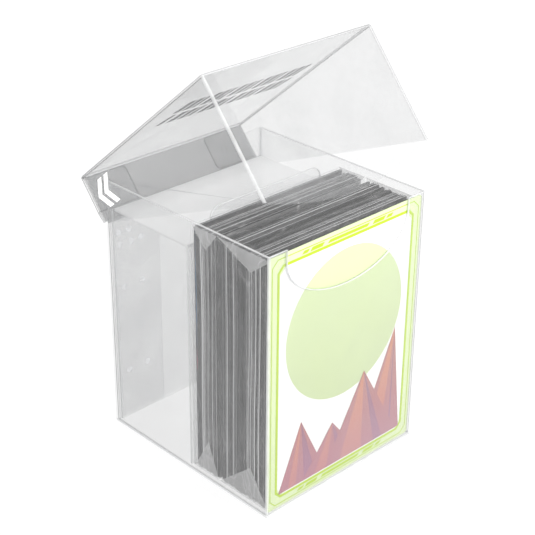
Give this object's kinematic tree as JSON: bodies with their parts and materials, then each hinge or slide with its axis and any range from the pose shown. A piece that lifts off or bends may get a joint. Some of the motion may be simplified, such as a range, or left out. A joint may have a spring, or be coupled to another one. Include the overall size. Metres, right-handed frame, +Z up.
{
  "type": "card deck box",
  "caption": "Clear folded flip-top box with a curved front flap and thumb notch, holding sleeved card packs, a divider and a riser.",
  "frame": {"origin": "centre of the underside of the box, on the surface it stands on", "axes": "+Z up, the front wall with the thumb notch faces -Y, the lid's hinge runs along X at the rear"},
  "size_m": [0.0728, 0.0934, 0.1446],
  "materials": {
    "body_sheet": "clear smooth polypropylene sheet",
    "lid_sheet": "clear smooth polypropylene sheet, faintly hazy",
    "divider_sheet": "clear smooth polypropylene sheet",
    "riser_sheet": "frosted polypropylene sheet",
    "insert_print": "printed and laminated card",
    "card_sleeves": "dark glossy card sleeves",
    "wrap_film": "clear crinkled film"
  },
  "bodies": {
    "box": {"bottom_panel": "body_sheet", "front_wall": "body_sheet", "rear_wall": "body_sheet", "left_wall": "body_sheet", "right_wall": "body_sheet", "left_glue_flap": "body_sheet", "right_glue_flap": "body_sheet"},
    "lid": {"lid_top_panel": "lid_sheet", "lid_front_flap": "lid_sheet", "lid_rear_panel": "lid_sheet", "lid_left_side": "lid_sheet", "lid_right_side": "lid_sheet", "lid_left_glue_flap": "lid_sheet", "lid_right_glue_flap": "lid_sheet"},
    "insert": {"printed_insert": "insert_print"},
    "front_pack": {"front_pack_card_01": "card_sleeves", "front_pack_card_02": "card_sleeves", "front_pack_card_03": "card_sleeves", "front_pack_card_04": "card_sleeves", "front_pack_card_05": "card_sleeves", "front_pack_card_06": "card_sleeves", "front_pack_card_07": "card_sleeves", "front_pack_card_08": "card_sleeves", "front_pack_card_09": "card_sleeves", "front_pack_card_10": "card_sleeves", "front_pack_card_11": "card_sleeves", "front_pack_card_12": "card_sleeves", "front_pack_card_13": "card_sleeves", "front_pack_card_14": "card_sleeves", "front_pack_card_15": "card_sleeves", "front_pack_card_16": "card_sleeves", "front_pack_card_17": "card_sleeves", "front_pack_card_18": "card_sleeves", "front_pack_card_19": "card_sleeves", "front_pack_card_20": "card_sleeves", "front_pack_card_21": "card_sleeves", "front_pack_card_22": "card_sleeves", "front_pack_card_23": "card_sleeves", "front_pack_card_24": "card_sleeves", "front_pack_card_25": "card_sleeves", "front_pack_card_26": "card_sleeves", "front_pack_wrap": "wrap_film"},
    "rear_pack": {"rear_pack_card_01": "card_sleeves", "rear_pack_card_02": "card_sleeves", "rear_pack_card_03": "card_sleeves", "rear_pack_card_04": "card_sleeves", "rear_pack_card_05": "card_sleeves", "rear_pack_card_06": "card_sleeves", "rear_pack_card_07": "card_sleeves", "rear_pack_card_08": "card_sleeves", "rear_pack_card_09": "card_sleeves", "rear_pack_card_10": "card_sleeves", "rear_pack_card_11": "card_sleeves", "rear_pack_card_12": "card_sleeves", "rear_pack_card_13": "card_sleeves", "rear_pack_wrap": "wrap_film"},
    "divider": {"tab_divider": "divider_sheet"},
    "riser": {"riser_front_leg": "riser_sheet", "riser_shelf": "riser_sheet", "riser_rear_leg": "riser_sheet"}
  },
  "joints": [
    {"name": "lid_hinge", "type": "hinge", "parent": "box", "child": "lid", "pos_m": [0, 0.0394, 0.079], "axis": [-1, 0, 0], "range_deg": [-40, 125]},
    {"name": "insert_lift", "type": "slide", "parent": "box", "child": "insert", "axis": [0, 0, 1], "range_m": [0, 0.014]},
    {"name": "front_pack_lift", "type": "slide", "parent": "box", "child": "front_pack", "axis": [0, 0, 1], "range_m": [0, 0.014]},
    {"name": "rear_pack_lift", "type": "slide", "parent": "box", "child": "rear_pack", "axis": [0, 0, 1], "range_m": [0, 0.014]},
    {"name": "divider_lift", "type": "slide", "parent": "box", "child": "divider", "axis": [0, 0, 1], "range_m": [0, 0.014]},
    {"name": "riser_lift", "type": "slide", "parent": "box", "child": "riser", "axis": [0, 0, 1], "range_m": [0, 0.014]}
  ]
}
